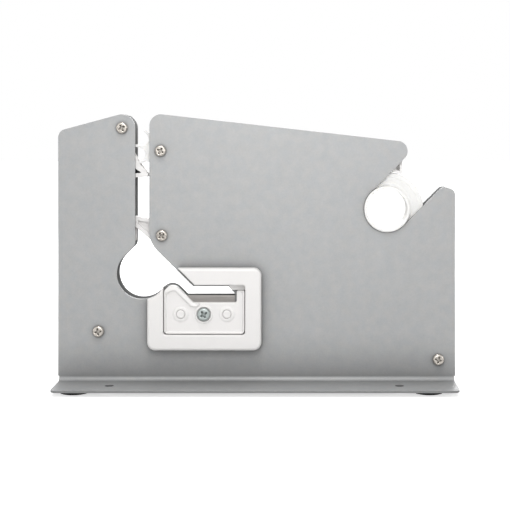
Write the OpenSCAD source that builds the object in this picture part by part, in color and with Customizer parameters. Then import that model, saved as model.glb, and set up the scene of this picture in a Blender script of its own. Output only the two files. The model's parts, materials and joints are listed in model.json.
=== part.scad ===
/* [Plates] */
// Overall length of the side plates
plate_len = 260; // [250:1:290]
// Thickness of the sheet
sheet_t = 1.5; // [1.2:0.1:2]
// Clear gap between the two side plates
plate_gap = 10; // [9.5:0.1:12]
// Width of each foot flange, from the plate's outer face
flange_w = 29; // [26:1:40]
// Inside radius of the bend between plate and flange
bend_r = 3; // [1:0.1:4]
// Corner radius of the foot flange
flange_corner_r = 4.5; // [1:0.1:6]
// Height of the left tower at its outer corner, above the flange's underside
tower_low_h = 164.9; // [160:0.1:172]
// Rise of the left tower's top edge, in degrees
tower_rise = 15; // [8:0.5:18]
// Corner radius of the tower's outer top corner
tower_corner_r = 5.5; // [3:0.5:12]
// Height of the right part beside the slot, above the flange's underside
body_top_h = 176.7; // [172:0.5:182]
// Fall of the right part's top edge towards the tape hub, in degrees
body_fall = 6.43; // [5:0.1:8]
// Corner radius of the left tower beside the slot
slot_mouth_r = 8.8; // [4:0.2:10]
// Corner radius of the right part beside the slot
body_corner_r = 7.6; // [4:0.2:10]
// Step of the flange's ends behind the plate's ends
flange_in = 0.7; // [0.3:0.1:1.5]

/* [Bag slot and window] */
// Centre of the slot from the left end of the plates
slot_in = 55.05; // [52:0.5:60]
// Width of the slot that the bag neck goes down
slot_w = 9.3; // [7:0.1:11]
// Radius of the round window below the slot
window_r = 16.4; // [15:0.1:18]
// Distance of the window's centre to the right of the slot's
window_side = -0.35; // [-1:0.05:1]
// Height of the window's centre above the flange's underside
window_h = 71.2; // [68:0.1:76]
// Radius where the slot's left edge flares into the window
flare_r = 5; // [3:0.5:8]
// Radius where the slot's right edge turns into the slanted edge
shoulder_r = 17; // [8:0.5:18]
// Distance of the slanted edge outside the window's circle
slant_out = 1.6; // [0:0.1:3]
// Height of the channel's upper edge below the window's centre
channel_drop = 8.1; // [7:0.1:10]
// Height of the trimming channel
channel_h = 6.4; // [6:0.1:9]
// Length of the trimming channel from the window's centre
channel_len = 56.8; // [50:0.1:62]
// Radius on top of the guiding hump
hump_r = 7.5; // [3:0.5:9]
// Distance of the hump's peak from the window's centre
hump_out = 18.9; // [18:0.1:21]

/* [Hub notch] */
// Distance of the hub's axis from the right end of the plates
notch_in = 44.6; // [42:0.1:50]
// Height of the hub's axis above the flange's underside
notch_h = 113.7; // [110:0.5:118]
// Radius of the notch that carries the hub
notch_r = 15.3; // [13:0.1:16]
// Radius of the lobe above the notch
lobe_r = 6.7; // [6:0.1:9]
// Length of the sloping top of the right peak
peak_len = 8.5; // [6:0.5:10]
// Slope of the right peak's top, in degrees
peak_fall = 18.4; // [10:0.5:25]
// Corner radius of the right peak
peak_r = 4.2; // [2:0.2:4.4]

/* [Screws, posts and feet] */
// Radius of the pan heads
head_r = 3.75; // [3.4:0.05:4.4]
// Height of the pan heads
head_h = 2.3; // [1.8:0.1:2.6]
// Radius of the screw thread
screw_r = 1.95; // [1.6:0.05:2.2]
// Depth that a screw reaches past the inner face of its plate
screw_reach = 4; // [3:0.25:4.5]
// Outer radius of the posts between the plates
post_r = 3.5; // [3.2:0.1:4]
// Radius of the four bolt holes in the flanges
bolt_r = 2.9; // [2.5:0.1:3.5]
// Distance between the bolt holes along the flanges
bolt_span = 186; // [176:1:190]
// Distance of each bolt hole from its plate's outer face
bolt_out = 15; // [12:0.5:18]
// Shift of the bolt holes from the plates' middle, to the right
bolt_side = -0.8; // [-2:0.1:2]
// Radius of the rubber feet
foot_r = 10.8; // [8:0.1:12]
// Height of the rubber feet
foot_h = 3; // [2:0.5:4]
// Distance between the feet along the flanges
foot_span = 227; // [220:1:230]
// Distance of each foot's centre from its plate's outer face
foot_out = 12.2; // [11:0.1:18]
// Shift of the feet from the plates' middle, to the right
foot_side = -2.7; // [-3:0.1:3]
// Distance of the left spacer post from the left end of the plates
post_left_in = 26.4; // [24:0.2:30]
// Height of the left spacer post above the flange's underside
post_left_h = 33.6; // [30:0.2:40]
// Distance of the right spacer post from the right end of the plates
post_right_in = 11.1; // [10:0.1:14]
// Height of the right spacer post above the flange's underside
post_right_h = 15.2; // [14:0.2:20]

/* [Star wheel] */
// Distance of the wheel's axle from the slot's right edge
star_off = 7.4; // [7:0.1:8]
// Height of the wheel's axle above the flange's underside
star_h = 151.8; // [149:0.5:154]
// Radius over the tips of the star wheel
star_tip_r = 17.6; // [16:0.1:18]
// Radius at the bottom of the gullets
star_root_r = 10.6; // [6.5:0.1:11]
// Number of teeth
star_teeth = 9; // [8:1:11]
// Turn of the wheel, in half steps between two teeth
star_turn = 1.43; // [0:0.01:2]
// Radius of the wheel's hub beside the teeth
star_hub_r = 6.3; // [5:0.1:7]
// Thickness of a tooth
star_tooth_t = 1.7; // [1.2:0.1:2]
// Width of the toothed disc
star_w = 5; // [3:0.5:6]

/* [Gate lever] */
// Distance of the gate's pivot from the slot's left edge
gate_off = 8.6; // [8:0.1:10]
// Height of the gate's pivot above the flange's underside
gate_h = 166.8; // [164:0.5:168]
// Height of the barb's tip below the gate's pivot
barb_drop = 30.7; // [30:0.1:33]
// Clearance of the barb from the slot's right edge
barb_gap = 0.8; // [0.6:0.1:3]
// Wall of the barb around its window
barb_wall = 2; // [1.5:0.1:2.4]
// Height of the toe's top below the gate's pivot
toe_drop = 65.3; // [64:0.5:67]
// Height of the toe
toe_h = 9.4; // [7:0.5:10]
// Thickness of the toothed knife in the toe
knife_t = 0.8; // [0.5:0.1:1]
// Depth of the knife in the toe
knife_back = 5; // [4:0.5:6]

/* [Lower lever] */
// Distance of the lower lever's pivot from the slot's right edge
lower_off = 8.2; // [8:0.1:9]
// Height of the lower lever's pivot above the flange's underside
lower_h = 96.4; // [95:0.5:98]
// Reach of the nose to the left of its pivot
nose_reach = 18.6; // [17:0.1:19]
// Height of the nose's top corner above its pivot
nose_rise = 12.6; // [11:0.1:13]
// Blunt height of the nose
nose_h = 6.5; // [3:0.1:8]
// Wall around the recess in the nose
nose_wall = 2.4; // [1.2:0.1:3]
// Width of the nose
nose_w = 5; // [3.5:0.1:5.4]

/* [Tape hub] */
// Outer radius of the drum that the tape core sits on
drum_r = 24; // [22:0.5:26]
// Wall of the hub's tube
tube_wall = 1.8; // [1.2:0.1:2.5]
// Distance that the tube stands out past each plate
tube_proud = 1.6; // [0.5:0.1:3]
// Wall of the drum under the tape core
drum_wall = 2.6; // [1.6:0.1:3.5]
// Height that the shoulder on the tube stands up inside the drum
shoulder_h = 1.4; // [1:0.1:2]

/* [Hub latch] */
// Distance of the latch's pivot to the right of the hub's axis
latch_x = 0.4; // [0:0.1:0.6]
// Height of the latch's pivot above the hub's axis
latch_z = 39.7; // [39.5:0.1:40.5]
// Radius of the latch's stud
latch_stud_r = 2; // [1.6:0.1:2.2]
// Radius of the latch's boss
latch_boss_r = 3.4; // [3.2:0.05:3.45]
// Right edge of the latch's finger from the hub's axis
finger_x = 10.2; // [9.6:0.1:11]
// Width of the latch's finger
finger_w = 6.5; // [5:0.1:7]
// Wall of the latch's finger on the right of its recess
finger_wall = 1.7; // [1.2:0.1:2.2]
// Wall of the latch's finger on the left of its recess
finger_side = 2.5; // [1.2:0.1:3]
// Clearance of the finger's end above the drum
finger_gap = 0.5; // [0.5:0.05:0.8]

/* [Trimmer] */
// Distance of the housing's left edge from the window's centre, to the right
housing_in = 4.2; // [3:0.1:5]
// Width of the trimmer housing
housing_w = 74.3; // [72:0.1:78]
// Height of the trimmer housing
housing_h = 53.6; // [51:0.1:54.5]
// Top of the housing above the window's centre
housing_top = 4.3; // [4:0.1:6]
// Depth of the housing in front of the plate
housing_d = 6; // [5:0.1:8]
// Width of the housing's side bars
bar_w = 10.5; // [9:0.1:11]
// Height of the housing's upper bar
top_bar_h = 11; // [10:0.1:13]
// Height of the housing's lower bar
bottom_bar_h = 10.3; // [8:0.1:11]
// Outer corner radius of the housing
housing_r = 5.2; // [2:0.1:7]
// Rounding along the housing's front edges
housing_edge = 2; // [0.6:0.1:2.4]
// Rounding along the front edges of the housing's opening
mouth_edge = 0.9; // [0.4:0.1:1.4]
// Corner radius of the housing's opening
opening_r = 2; // [1:0.1:3]
// Distance of the housing's slanted end behind the plates' slanted edge
slant_back = 2.2; // [0.5:0.1:3]
// Thickness of the ledge in the housing's opening, beyond the channel's end
ledge_t = 1.5; // [1:0.1:2]
// Depth of the blade holder in front of the plate
holder_d = 4.4; // [4:0.1:5]
// Width of the raised rim around the holder
rim_w = 1.9; // [1.4:0.1:2.2]
// Depth of the field inside the rim
field_d = 1.1; // [0.6:0.1:1.5]
// Height of the holder's upper edge below the channel's upper edge
holder_drop = 10.1; // [9.6:0.1:12]
// Width of the upright arm at the holder's right end
arm_w = 5.2; // [5:0.1:7]
// Height of the arm's top below the channel's upper edge
arm_drop = 2.4; // [2:0.1:5]
// Radius on top of the holder's lobe
holder_lobe_r = 5.4; // [4:0.1:7]
// Distance of the lobe's right flank outside the plate's hump
lobe_out = 0.9; // [0:0.1:1.5]
// Distance of the lobe's left flank inside the plate's hump
lobe_in = 1.7; // [1:0.1:3]
// Length of the blade
blade_len = 38; // [34:0.5:40]
// Height of the blade
blade_h = 18; // [16:0.5:20]
// Thickness of the blade
blade_t = 0.6; // [0.4:0.1:0.8]
// Height of the ground bevel along the cutting edge
blade_bevel = 2.2; // [1.5:0.1:3]
// Distance that the blade reaches past the channel's end
blade_past = 4.3; // [3.5:0.1:4.5]
// Height of the cutting edge below the channel's upper edge
blade_drop = 5.7; // [4.4:0.1:6]
// Distance of the holder's screw to the left of the blade's middle
screw_side = 1.1; // [0.8:0.1:2.4]
// Distance between the two locating pins
pin_span = 30.1; // [27:0.1:31]
// Radius of the locating pins
pin_r = 2.75; // [2:0.05:3]
// Height of the holder's screw below the channel's upper edge
holder_screw_drop = 17.7; // [17:0.1:20]
// Radius of the holder screw's head
holder_head_r = 4.2; // [4:0.1:5]

/* [Fits] */
// Clearance of a lever or wheel on its post
run_gap = 0.06; // [0.03:0.01:0.1]
// Clearance between separate parts
part_gap = 0.3; // [0.25:0.05:0.4]
// Side clearance of the parts between the plates
side_gap = 0.4; // [0.3:0.05:0.5]
// Clearance of a screw in its plate
hole_gap = 0.25; // [0.1:0.05:0.4]
// Clearance of a screw in its post
thread_gap = 0.05; // [0.02:0.01:0.08]
// Clearance of a seated piece, and of a spring where it bears
seat_gap = 0.05; // [0.03:0.01:0.08]

/* [Springs] */
// Radius of the wire of the lever springs
wire_r = 0.5; // [0.3:0.05:0.6]
// Clear gap between neighbouring turns
turn_gap = 0.45; // [0.42:0.01:0.5]
// Turns of each lever spring, less a quarter
spring_turns = 2; // [1:1:2]
// Radius of the studs that the levers rest on
stud_r = 1.3; // [1:0.1:1.5]
// Distance of these studs from the lever's pivot
stud_x = 11.2; // [11:0.1:12]

/* [Hidden] */
$fn = 64;

// Faces of the two plates along Y: the front is towards -Y
in_y = plate_gap / 2;
out_y = in_y + sheet_t;
part_y = in_y - side_gap;
base_z = foot_h;
x_left = -plate_len / 2;
x_right = plate_len / 2;
over_z = base_z + body_top_h + 20;

// Slot, window and channel
slot_l = x_left + slot_in - slot_w / 2;
slot_r = slot_l + slot_w;
win = [slot_l + slot_w / 2 + window_side, base_z + window_h];
diag = sqrt(2);
slant_sum = win[0] + win[1] + (window_r + slant_out) * diag;
flare_dif = win[1] - win[0] + window_r * diag;
hump_dif = win[1] - win[0] - window_r * diag;
channel_top = win[1] - channel_drop;
channel_low = channel_top - channel_h;
channel_x = win[0] + channel_len;
hump = [win[0] + hump_out, win[0] + hump_out + hump_dif];
hump_sum = hump[0] + hump[1];

// Hub notch, open upwards at 45 degrees
hub = [x_right - notch_in, base_z + notch_h];
notch_up = hub[1] - hub[0] + notch_r * diag;
notch_dn = hub[1] - hub[0] - notch_r * diag;
body_top = base_z + body_top_h;
lobe_x = (body_top + slot_r * tan(body_fall) - notch_up) / (1 + tan(body_fall));
peak_x = x_right - peak_len * cos(peak_fall);
peak_z = peak_x + notch_dn;

// Pivots in the X-Z plane
gate_p = [slot_l - gate_off, base_z + gate_h];
star_p = [slot_r + star_off, base_z + star_h];
lower_p = [slot_r + lower_off, base_z + lower_h];
latch_p = [hub[0] + latch_x, hub[1] + latch_z];
spacer_p = [
  [x_left + post_left_in, base_z + post_left_h],
  [x_right - post_right_in, base_z + post_right_h]
];
pivot_p = [gate_p, star_p, lower_p];
screw_p = concat(pivot_p, spacer_p);
screw_turn = [20, 65, 50, 30, 75];

// Lever bosses, spring seats and stops, in each pivot's own frame
coil_r = post_r + wire_r + 0.6;
spring_bore_r = coil_r + wire_r + 0.7;
stud_z = coil_r - wire_r - seat_gap - stud_r;
tail_len = stud_x + 2.2;
tail_z = stud_z - stud_r - part_gap;
tail_h = 3.7;
peg_r = 1;
peg_x = coil_r - wire_r - seat_gap - peg_r;
peg_z = 7;
heel_r = 2;
boss_r = 6.7;
arm_top_z = 9.5;
lower_boss_r = 7.7;

// Gate lever: its faces, barb and toe
gate_face = slot_l - 0.4;
gate_back = gate_p[0] - 6.2;
gate_step = slot_l - 6.4;
barb_tip = [slot_r - barb_gap, gate_p[1] - barb_drop];
barb_low = barb_tip[1] - 1.3;
gate_in = gate_face - 3;
toe_top = gate_p[1] - toe_drop;

// Lower lever: the nose and the circle that it sweeps
nose_tip = [lower_p[0] - nose_reach, lower_p[1] + nose_rise];
nose_swing = norm([nose_reach, nose_rise]) + part_gap;
knife_edge = lower_p[0] - nose_swing - 0.2;

// Tape hub
tube_r = notch_r - part_gap;
tube_end = out_y + tube_proud;
shoulder_half = 2.4;

// Latch: its spring's coil, anchor stud and peg
latch_wire_r = 0.35;
latch_coil_r = latch_stud_r + latch_wire_r + 0.5;
latch_anchor_r = 0.9;
latch_anchor = [-8.2, latch_coil_r - latch_wire_r - seat_gap - latch_anchor_r];
latch_peg_r = 0.8;
latch_peg = [latch_coil_r - latch_wire_r - seat_gap - latch_peg_r, -3.9];
finger_end_r = drum_r + finger_gap;

// Trimmer: the housing's frame, the blade and its holder
housing_x = win[0] + housing_in;
housing_z = win[1] + housing_top - housing_h;
in_l = housing_x + bar_w;
in_r = housing_x + housing_w - bar_w;
in_top = housing_z + housing_h - top_bar_h;
in_low = housing_z + bottom_bar_h;
small_r = 1.4;
small_head_r = 2.6;
small_head_h = 1.6;
housing_screw_p = [
  [housing_x + bar_w / 2, housing_z + bottom_bar_h / 2],
  [in_r + bar_w / 2, housing_z + bottom_bar_h / 2],
  [in_r + bar_w / 2, in_top + top_bar_h / 2]
];
holder_l = in_l + 0.4;
holder_r = in_r - 0.4;
holder_low = in_low + 0.4;
holder_top = channel_top - holder_drop;
holder_y = -out_y - holder_d;
arm_top = channel_top - arm_drop;
blade_mid = channel_x - blade_len / 2 + blade_past;
blade_top = channel_top - blade_drop;
holder_screw_p = [blade_mid - screw_side, channel_top - holder_screw_drop];
pin_p = [for (side = [-1, 1]) holder_screw_p + [side * pin_span / 2, 0]];
nut_r = 3.6;
nut_h = 3;

plate_grey = [0.73, 0.74, 0.74];
white = [0.95, 0.95, 0.93];
steel = [0.62, 0.63, 0.65];
dark = [0.12, 0.12, 0.13];

// ---- Outlines ----

function unit(v) = v / norm(v);

// An arc that rounds corner b between a and c with radius r
function round_corner(a, b, c, r) =
  let (u = unit(a - b), v = unit(c - b))
  let (half = acos(max(-1, min(1, u * v))) / 2)
  let (mid = b + unit(u + v) * r / sin(half))
  let (p = b + u * r / tan(half) - mid, q = b + v * r / tan(half) - mid)
  let (from = atan2(p[1], p[0]))
  let (turn = (atan2(q[1], q[0]) - from + 540) % 360 - 180)
  let (n = max(2, ceil(abs(turn) / 10)))
  [for (i = [0:n]) mid + r * [cos(from + turn * i / n), sin(from + turn * i / n)]];

// A closed outline from corners [x, z, radius]
function smooth(c) =
  [for (i = [0:len(c) - 1])
    let (n = len(c), a = c[(i + n - 1) % n], b = c[i], d = c[(i + 1) % n])
    each (b[2] > 0
      ? round_corner([a[0], a[1]], [b[0], b[1]], [d[0], d[1]], b[2])
      : [[b[0], b[1]]])];

// Corners without a radius along an arc
function arc(mid, r, a0, a1, n) =
  [for (i = [0:n])
    let (a = a0 + (a1 - a0) * i / n)
    [mid[0] + r * cos(a), mid[1] + r * sin(a), 0]];

// The same outline, counter-clockwise, moved inwards by d
function inset(pts, d) =
  [for (i = [0:len(pts) - 1])
    let (n = len(pts), a = pts[(i + n - 1) % n], b = pts[i], c = pts[(i + 1) % n])
    let (u = unit(b - a), v = unit(c - b))
    let (p = [-u[1], u[0]], q = [-v[1], v[0]])
    b + d * (p + q) / max(0.35, 1 + p * q)];

// Children in the X-Z plane, extruded from y0 to y1
module slab(y0, y1) {
  translate([0, y1, 0]) rotate([90, 0, 0]) linear_extrude(y1 - y0) children();
}

// A solid turned about an axis along Y: the profile's height runs towards -Y
module turned(p) {
  translate([p[0], 0, p[1]]) rotate([90, 0, 0]) rotate_extrude() children();
}

module rod(p, r, y0, y1) {
  translate([p[0], y1, p[1]]) rotate([90, 0, 0]) cylinder(r = r, h = y1 - y0);
}

// Levels of a block with its front edges rounded by r: [inset, depth]
function pillow(depth, r) = concat([[0, 0]], [for (k = [0:4])
  [r * (1 - cos(22.5 * k)), depth - r + r * sin(22.5 * k)]]);

// Levels of an opening that flares by r towards its mouth
function flare(depth, r) = concat([[0, -1]], [for (k = [0:4])
  [-r * (1 - cos(22.5 * k)), depth - r + r * sin(22.5 * k)]], [[-r, depth + 1]]);

// A convex outline standing on the front plate, with an inset at each level
module stacked(pts, levels) {
  n = len(pts);
  rings = [for (l = levels) let (o = inset(pts, l[0]))
    each [for (p = o) [p[0], -out_y - l[1], p[1]]]];
  sides = [for (k = [0:len(levels) - 2]) for (i = [0:n - 1])
    [k * n + i, k * n + (i + 1) % n, (k + 1) * n + (i + 1) % n, (k + 1) * n + i]];
  last = (len(levels) - 1) * n;
  faces = concat(
    [[for (i = [n - 1:-1:0]) n - 1 - i]],
    [for (f = sides) [f[3], f[2], f[1], f[0]]],
    [[for (i = [n - 1:-1:0]) last + i]]);
  polyhedron(points = rings, faces = faces, convexity = 8);
}

// A wire swept along points, all of whose runs lie across Y
module wire(path, r) {
  sides = 6;
  n = len(path);
  rings = [for (i = [0:n - 1])
    let (t = unit(path[min(n - 1, i + 1)] - path[max(0, i - 1)]))
    let (side = unit(cross(t, [0, 1, 0])), up = cross(side, t))
    each [for (k = [0:sides - 1])
      let (a = 360 * k / sides)
      path[i] + r * (cos(a) * side + sin(a) * up)]];
  walls = [for (i = [0:n - 2]) for (k = [0:sides - 1])
    let (a = i * sides + k, b = i * sides + (k + 1) % sides)
    each [[a, b, b + sides], [a, b + sides, a + sides]]];
  last = (n - 1) * sides;
  caps = [[for (k = [sides - 1:-1:0]) k], [for (k = [0:sides - 1]) last + k]];
  polyhedron(points = rings, faces = concat(walls, caps), convexity = 4);
}

// Route of a torsion spring about a pivot: a fixed leg along X, the turns from the angle
// start, and a moving leg down against the lever's peg. Side 1 has that leg on the right.
function spring_path(p, side, start, r, wire, leg, drop) =
  let (pitch = 2 * wire + turn_gap, total = 360 * spring_turns - 90 - start)
  let (steps = spring_turns * 8, y0 = part_y - wire - seat_gap)
  let (turns = [for (i = [0:steps])
    let (t = total * i / steps, a = start + t)
    [p[0] - side * r * sin(a), y0 - pitch * t / 360, p[1] - r * cos(a)]])
  concat([[p[0] + side * leg * cos(start), y0, p[1] - r * cos(start)]],
    turns,
    [[p[0] + side * r, y0 - pitch * total / 360, p[1] - drop]]);

// ---- Side plates ----

// The cut that the bag neck goes down: slot, neck of the window and trimming channel
module throat() {
  flare_z = slot_l + flare_dif;
  tangent = window_r / diag;
  polygon(smooth([
    [slot_l, over_z, 0],
    [slot_l, flare_z, flare_r],
    [win[0] - tangent, win[1] + tangent, 0],
    [win[0], win[1], 0],
    [win[0] + tangent, win[1] - tangent, 0],
    [hump[0], hump[1], hump_r],
    [hump_sum - channel_low, channel_low, 1],
    [channel_x + channel_h * 0.9, channel_low, 1],
    [channel_x, channel_top, 1],
    [slant_sum - channel_top, channel_top, 1.5],
    [slot_r, slant_sum - slot_r, shoulder_r],
    [slot_r, over_z, 0]
  ]));
}

module plate_outline() {
  tower_top = base_z + tower_low_h;
  tower_high = tower_top + (slot_l - x_left) * tan(tower_rise);
  lobe_z = lobe_x + notch_up;
  floor_z = base_z + sheet_t + bend_r;
  difference() {
    union() {
      polygon(smooth([
        [x_left, floor_z, 0],
        [slot_r + 5, floor_z, 0],
        [slot_r + 5, channel_low, 0],
        [slot_l, channel_low, 0],
        [slot_l, tower_high, slot_mouth_r],
        [x_left, tower_top, tower_corner_r]
      ]));
      polygon(smooth([
        [slot_r, floor_z, 0],
        [x_right, floor_z, 0],
        [x_right, peak_z - peak_len * sin(peak_fall), peak_r],
        [peak_x, peak_z, peak_r],
        [hub[0] + notch_r / diag, hub[1] - notch_r / diag, 0],
        [hub[0], hub[1], 0],
        [hub[0] - notch_r / diag, hub[1] + notch_r / diag, 0],
        [lobe_x, lobe_z, lobe_r],
        [slot_r, body_top, body_corner_r]
      ]));
      translate([slot_l - 1, floor_z]) square([slot_w + 2, channel_low - floor_z]);
      translate([slot_l - 1, floor_z]) square([slot_w + window_r * 2, win[1] - floor_z]);
    }
    throat();
    translate(win) circle(r = window_r, $fn = 96);
    translate(hub) circle(r = notch_r, $fn = 96);
    for (p = screw_p) translate(p) circle(r = screw_r + hole_gap);
  }
}

// One bent side plate with its foot flange on the front
module side_plate() {
  bend_out = bend_r + sheet_t;
  slab(-out_y, -in_y) plate_outline();
  translate([x_left + flange_in, -out_y - bend_r, base_z + bend_out]) rotate([90, 0, 90])
    linear_extrude(plate_len - 2 * flange_in) difference() {
      circle(r = bend_out);
      circle(r = bend_r);
      translate([-2 * bend_out, -2 * bend_out]) square([2 * bend_out, 4 * bend_out]);
      translate([-2 * bend_out, 0]) square([4 * bend_out, 2 * bend_out]);
    }
  difference() {
    translate([0, 0, base_z]) linear_extrude(sheet_t) polygon(smooth([
      [x_left + flange_in, -out_y - bend_r, 0],
      [x_left + flange_in, -out_y - flange_w, flange_corner_r],
      [x_right - flange_in, -out_y - flange_w, flange_corner_r],
      [x_right - flange_in, -out_y - bend_r, 0]
    ]));
    for (side = [-1, 1])
      translate([bolt_side + side * bolt_span / 2, -out_y - bolt_out, base_z - 1])
        cylinder(r = bolt_r, h = sheet_t + 2);
  }
}

module trimmer_holes() {
  rod(holder_screw_p, screw_r + hole_gap, -out_y - 1, -in_y + 1);
  for (p = pin_p) rod(p, pin_r + seat_gap, -out_y - 1, -in_y + 1);
  for (p = housing_screw_p) rod(p, small_r + hole_gap, -out_y - 1, -in_y + 1);
}

module front_plate() {
  color(plate_grey) difference() {
    side_plate();
    trimmer_holes();
  }
}

module rear_plate() {
  color(plate_grey) mirror([0, 1, 0]) side_plate();
}

// ---- Posts, screws, feet and studs ----

module post(p) {
  difference() {
    rod(p, post_r, -in_y, in_y);
    rod(p, screw_r + thread_gap, -in_y - 1, in_y + 1);
  }
}

module spacer_posts() {
  color(steel) for (p = spacer_p) post(p);
}

module gate_post() {
  color(steel) post(gate_p);
}

module star_post() {
  color(steel) post(star_p);
}

module lower_post() {
  color(steel) post(lower_p);
}

// A pan head screw on the front plate, with its cross recess turned by spin
module pan_screw(p, spin, head, reach) {
  crown = head_h * 0.45;
  difference() {
    union() {
      turned(p) intersection() {
        polygon(smooth([
          [0, out_y, 0],
          [head, out_y, 0],
          [head, out_y + head_h - crown, 0.5],
          [head * 0.72, out_y + head_h, 1.2],
          [0, out_y + head_h, 0]
        ]));
        translate([0, out_y]) square([head, head_h]);
      }
      rod(p, screw_r, -out_y - 0.2, -out_y + reach);
    }
    translate([p[0], -out_y - head_h, p[1]]) rotate([0, spin, 0]) for (a = [0, 90])
      rotate([0, a, 0]) cube([head * 1.15, head_h * 1.2, head * 0.24], center = true);
  }
}

module front_screws() {
  color(steel) for (i = [0:len(screw_p) - 1])
    pan_screw(screw_p[i], screw_turn[i], head_r, sheet_t + screw_reach);
}

module rear_screws() {
  color(steel) mirror([0, 1, 0]) for (i = [0:len(screw_p) - 1])
    pan_screw(screw_p[i], screw_turn[i] + 35, head_r, sheet_t + screw_reach);
}

module rubber_feet() {
  color(dark) for (sx = [-1, 1]) for (sy = [-1, 1])
    translate([foot_side + sx * foot_span / 2, sy * (out_y + foot_out), 0]) rotate_extrude()
      polygon(smooth([
        [0, 0, 0],
        [foot_r - 0.8, 0, 0.6],
        [foot_r, foot_h * 0.7, 0.6],
        [foot_r, foot_h, 0],
        [0, foot_h, 0]
      ]));
}

// Studs welded inside the rear plate: the levers rest on them and the springs bear on them
module stop_studs() {
  color(steel) {
    rod([gate_p[0] - stud_x, gate_p[1] - stud_z], stud_r, -part_y + 0.6, in_y);
    rod([lower_p[0] + stud_x, lower_p[1] - stud_z], stud_r, -part_y + 0.6, in_y);
    rod(latch_p + latch_anchor, latch_anchor_r, 0.5, in_y);
  }
}

module latch_stud() {
  color(steel) rod(latch_p, latch_stud_r, -part_y, in_y);
}

// ---- Gate lever, in the left tower ----

// Front half of a lever around its post: boss, tail for the stop and a foot for the peg
module lever_root(p, side, r) {
  slab(-part_y, 0) translate(p) difference() {
    union() {
      circle(r = r);
      translate([side > 0 ? 0 : -tail_len, -tail_z]) square([tail_len, tail_h]);
      translate([side * peg_x - heel_r, -peg_z]) square([2 * heel_r, peg_z]);
      translate([side * peg_x, -peg_z]) circle(r = heel_r);
    }
    circle(r = post_r + run_gap);
  }
  rod([p[0] + side * peg_x, p[1] - peg_z], peg_r, -0.1, part_y - 0.4);
}

// Outline of the gate's arm, barb and toe below the boss
module gate_outline() {
  top = gate_p[1] - arm_top_z;
  polygon(smooth([
    [gate_back, top, 1],
    [gate_back, toe_top - toe_h, 2],
    [gate_face, toe_top - toe_h, 1],
    [gate_face, toe_top, 1],
    [gate_step, toe_top, 1.5],
    [gate_step, barb_low - 0.8, 1.5],
    [barb_tip[0] - 1, barb_low, 0.5],
    [barb_tip[0], barb_tip[1], 0.3],
    [gate_face + 2.6, barb_tip[1] + 7.7, 8],
    [gate_face, barb_tip[1] + 12.5, 2],
    [gate_in, barb_tip[1] + 18, 2],
    [gate_in, top, 0]
  ]));
}

// Window through the barb, closed behind by the barb's steel plate
module barb_window(grow) {
  low = barb_low + barb_wall;
  polygon(smooth([
    [gate_face - 2.4 - grow, low - grow, 0.4],
    [barb_tip[0] - 4.2 + grow, low + 0.5 - grow, 0.4],
    [gate_face + 0.9 + grow * 0.6, low + 2.9 + grow * 0.6, 3],
    [gate_face - 2.4 - grow, low + 6.4 + grow, 0.4]
  ]));
}

module gate_lever() {
  fork = nose_w / 2 + part_gap;
  groove = star_w / 2 + part_gap;
  color(white) difference() {
    union() {
      lever_root(gate_p, -1, boss_r);
      slab(-part_y, 0) translate([gate_back, gate_p[1] - arm_top_z - 1])
        square([gate_in - gate_back, arm_top_z + 1]);
      slab(-part_y, part_y) gate_outline();
    }
    rod(gate_p, post_r + run_gap, -in_y, in_y);
    rod(gate_p, spring_bore_r, 0, in_y);
    rod(star_p, star_tip_r + part_gap + 0.2, -groove, groove);
    slab(-in_y, in_y) barb_window(0);
    slab(0.2, 1.1) barb_window(1.1);
    slab(-fork, fork) translate([lower_p[0] - nose_swing, toe_top - toe_h - 1])
      square([nose_swing, toe_h + 2]);
    slab(-part_y - 1, -part_y + 1.6) polygon([
      [gate_back + 2, gate_p[1] - 20],
      [gate_back + 2, toe_top + 4],
      [gate_step - 2, toe_top + 4],
      [gate_step - 2, gate_p[1] - 20]
    ]);
    translate([lower_p[0] - nose_swing - knife_back, -in_y, toe_top - knife_t - 1])
      cube([knife_back + 0.2, plate_gap, knife_t + seat_gap]);
  }
}

module barb_plate() {
  color(steel) slab(0.2 + seat_gap, 1.1 - seat_gap) barb_window(1.1 - seat_gap);
}

// Toothed steel knife in a slot of the toe: its edge crosses the tape
module tape_knife() {
  teeth = 6;
  tooth = 1;
  half = part_y - 0.4;
  pitch = 2 * half / teeth;
  back = knife_edge - knife_back + 0.4;
  color(steel) translate([0, 0, toe_top - knife_t - 1 + seat_gap / 2]) linear_extrude(knife_t)
    polygon(concat(
      [[back, half], [back, -half]],
      [for (i = [0:teeth - 1]) each [
        [knife_edge - tooth, -half + pitch * i],
        [knife_edge, -half + pitch * (i + 0.5)]]],
      [[knife_edge - tooth, half]]));
}

module gate_spring() {
  color(steel) wire(spring_path(gate_p, -1, 0, coil_r, wire_r, stud_x + 2, peg_z + 1.5), wire_r);
}

// ---- Lower lever, right of the slot ----

// The nose's outline, moved inwards by d
function nose_pts(d) =
  let (pts = inset([
    nose_tip,
    nose_tip - [0, nose_h],
    lower_p + lower_boss_r * [-0.7, -0.7],
    lower_p - [2, 0],
    lower_p + [0.5, lower_boss_r - 0.15],
    lower_p + [-8.2, nose_rise - 2]
  ], d))
  let (radii = [1, 1, 0, 0, 0, 6])
  [for (i = [0:5]) [pts[i][0], pts[i][1], d > 0 ? min(0.3, radii[i]) : radii[i]]];

module lower_lever() {
  depth = 1.6;
  color(white) difference() {
    union() {
      lever_root(lower_p, 1, lower_boss_r);
      slab(-nose_w / 2, nose_w / 2) polygon(smooth(nose_pts(0)));
    }
    rod(lower_p, post_r + run_gap, -in_y, in_y);
    rod(lower_p, spring_bore_r, 0, in_y);
    for (s = [-1, 1]) slab(s * nose_w / 2 - depth, s * nose_w / 2 + depth)
      difference() {
        polygon(smooth(nose_pts(nose_wall)));
        translate(lower_p) circle(r = lower_boss_r + 0.6);
      }
  }
}

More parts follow.
